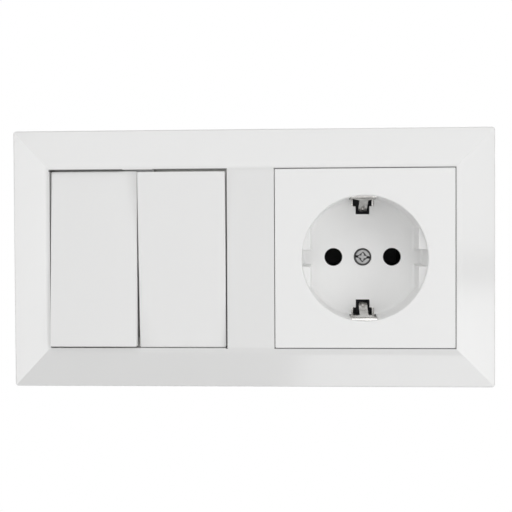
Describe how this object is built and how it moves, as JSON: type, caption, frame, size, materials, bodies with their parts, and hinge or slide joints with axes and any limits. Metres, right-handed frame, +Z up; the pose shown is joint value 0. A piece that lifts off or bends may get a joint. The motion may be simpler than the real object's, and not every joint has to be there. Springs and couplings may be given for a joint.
{
  "type": "switch and socket combination",
  "caption": "White wall frame with paired rocker switches beside an earthed socket outlet with a round plug recess.",
  "frame": {"origin": "middle of the wall-box screw pattern, on the wall plane", "axes": "+X to the right seen from the room, +Y into the wall, +Z up"},
  "size_m": [0.1528, 0.0421, 0.0816],
  "materials": {
    "frame_white": "glossy white moulding",
    "rocker_white": "smooth white moulding",
    "socket_white": "smooth white moulding",
    "cradle_white": "plain white moulding",
    "toggle_grey": "grey moulding",
    "base_grey": "dark grey moulding",
    "plated_steel": "zinc-plated sheet",
    "screw_steel": "plated fasteners",
    "spring_steel": "drawn wire",
    "tinned_brass": "tinned sheet",
    "bare_brass": "bare sheet",
    "contact_silver": "silver-faced"
  },
  "bodies": {
    "fixed": {"cover_frame": "frame_white", "socket_cover": "socket_white", "switch_cradle": "cradle_white", "socket_base": "base_grey", "switch_base": "base_grey", "socket_support_plate": "plated_steel", "switch_support_plate": "plated_steel", "socket_rivets": "plated_steel", "switch_rivets": "plated_steel", "centre_screw": "screw_steel", "centre_nut": "screw_steel", "socket_terminal_screws": "screw_steel", "switch_terminal_screws": "screw_steel", "socket_wire_clamps": "screw_steel", "switch_wire_clamps": "screw_steel", "earth_strap": "tinned_brass", "live_contact": "bare_brass", "neutral_contact": "bare_brass", "common_terminal": "bare_brass", "left_terminal": "bare_brass", "right_terminal": "bare_brass", "fixed_contacts": "contact_silver"},
    "left_rocker": {"left_rocker": "rocker_white", "left_toggle": "toggle_grey", "left_spring": "spring_steel"},
    "left_plunger": {"left_plunger": "toggle_grey"},
    "right_rocker": {"right_rocker": "rocker_white", "right_toggle": "toggle_grey", "right_spring": "spring_steel"},
    "right_plunger": {"right_plunger": "toggle_grey"},
    "left_bridge": {"left_contact_bridge": "bare_brass", "left_moving_contact": "contact_silver"},
    "right_bridge": {"right_contact_bridge": "bare_brass", "right_moving_contact": "contact_silver"}
  },
  "joints": [
    {"name": "left_rocker_tilt", "type": "hinge", "parent": "fixed", "child": "left_rocker", "pos_m": [-0.04945, -0.0054, 0], "axis": [1, 0, 0], "range_deg": [0, 7.2]},
    {"name": "right_rocker_tilt", "type": "hinge", "parent": "fixed", "child": "right_rocker", "pos_m": [-0.02155, -0.0054, 0], "axis": [1, 0, 0], "range_deg": [-7.2, 0]},
    {"name": "left_bridge_tilt", "type": "hinge", "parent": "fixed", "child": "left_bridge", "pos_m": [-0.04945, 0.0106, 0], "axis": [1, 0, 0], "range_deg": [-10.1, 0.1]},
    {"name": "right_bridge_tilt", "type": "hinge", "parent": "fixed", "child": "right_bridge", "pos_m": [-0.02155, 0.0106, 0], "axis": [1, 0, 0], "range_deg": [-0.1, 10.1]},
    {"name": "left_plunger_slide", "type": "slide", "parent": "left_rocker", "child": "left_plunger", "axis": [0, -0.998, 0.0628], "range_m": [0, 0.0005], "stiffness_N_per_m": 300, "springref_m": -0.002, "deforming": ["left_spring"]},
    {"name": "right_plunger_slide", "type": "slide", "parent": "right_rocker", "child": "right_plunger", "axis": [0, -0.998, -0.0628], "range_m": [0, 0.0005], "stiffness_N_per_m": 300, "springref_m": -0.002, "deforming": ["right_spring"]}
  ],
  "couplings": [
    {"joint": "left_bridge_tilt", "follows": "left_rocker_tilt", "ratio": -1.3889},
    {"joint": "right_bridge_tilt", "follows": "right_rocker_tilt", "ratio": -1.3889}
  ]
}
